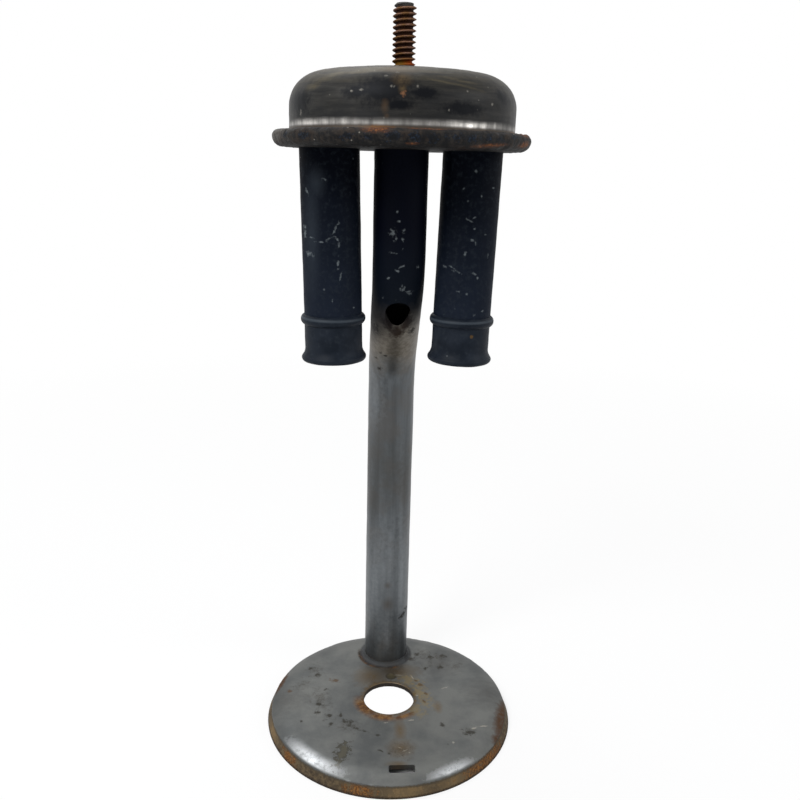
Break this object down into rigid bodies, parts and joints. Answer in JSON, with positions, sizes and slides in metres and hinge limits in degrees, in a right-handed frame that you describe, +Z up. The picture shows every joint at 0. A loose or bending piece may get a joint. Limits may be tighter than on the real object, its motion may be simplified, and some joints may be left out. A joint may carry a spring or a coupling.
{
  "type": "lantern burner",
  "caption": "Burner frame of a two-mantle pressure lantern: pressed disc, S-bent air tube, domed manifold on a rolled-rim plate, two capped mantle tubes and a threaded top stud.",
  "frame": {"origin": "centre of the base disc's rim, on the plane that it stands on", "axes": "+Z up along the upper leg and the stud, +X towards the right-hand mantle tube seen from the generator port, +Y to the back, where the tube's foot is"},
  "size_m": [0.0612, 0.0612, 0.1659],
  "materials": {
    "pressed_steel_disc": "dull, stained, rusty edge",
    "tube_steel": "sooty above the bend, bare and streaked below",
    "rusted_steel_rim": "pitted and rusted",
    "scorched_steel_cap": "heat-darkened, scuffed",
    "sooty_tube_steel": "blackened",
    "burner_cap_steel": "heat-darkened",
    "wire_gauze": "burnt wire",
    "rusted_screw_steel": "rust brown"
  },
  "bodies": {
    "root": {"base_plate": "pressed_steel_disc", "air_tube": "tube_steel", "manifold_plate": "rusted_steel_rim", "manifold_cap": "scorched_steel_cap", "mantle_tube_left": "sooty_tube_steel", "mantle_tube_right": "sooty_tube_steel", "burner_cap_left": "burner_cap_steel", "burner_cap_right": "burner_cap_steel", "screen_left": "wire_gauze", "screen_right": "wire_gauze", "stud": "rusted_screw_steel"}
  },
  "joints": []
}
